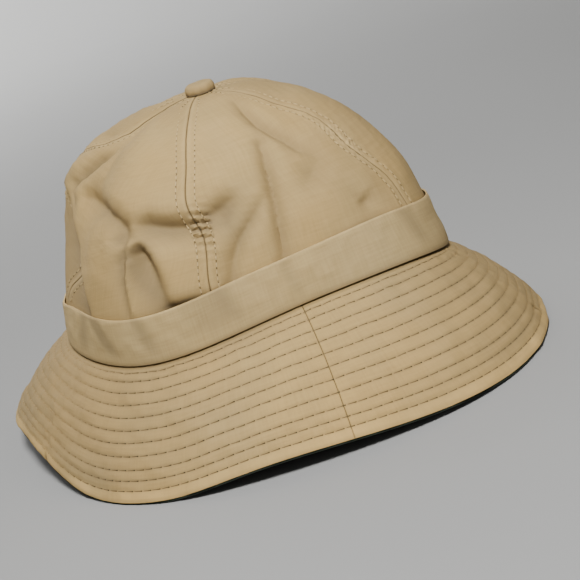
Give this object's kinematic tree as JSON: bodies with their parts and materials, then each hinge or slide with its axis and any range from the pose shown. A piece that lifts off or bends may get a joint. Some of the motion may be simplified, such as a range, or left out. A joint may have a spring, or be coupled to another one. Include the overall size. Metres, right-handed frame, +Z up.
{
  "type": "safari bucket hat",
  "caption": "Soft cotton safari bucket hat: panelled domed crown with a covered button, plain hat band, and a sloping stitched brim with a dark underside.",
  "frame": {"origin": "centre of the hat's outline, on the ground that the rim rests on", "axes": "+Z up through the top button, -Y to the front of the hat, +X to the wearer's left"},
  "size_m": [0.2724, 0.2908, 0.1575],
  "materials": {
    "crown_cloth": "khaki cotton poplin, matt with a faint sheen",
    "band_cloth": "khaki cotton poplin, matt with a faint sheen",
    "brim_cloth": "khaki cotton poplin, row stitched, slightly warmer",
    "under_cloth": "dark green cotton, matt"
  },
  "bodies": {
    "root": {"crown_panel_1": "crown_cloth", "crown_panel_2": "crown_cloth", "crown_panel_3": "crown_cloth", "crown_panel_4": "crown_cloth", "crown_panel_5": "crown_cloth", "crown_panel_6": "crown_cloth", "top_button": "crown_cloth", "hat_band": "band_cloth", "brim_front": "brim_cloth", "brim_back": "brim_cloth", "brim_underside": "under_cloth"}
  },
  "joints": []
}
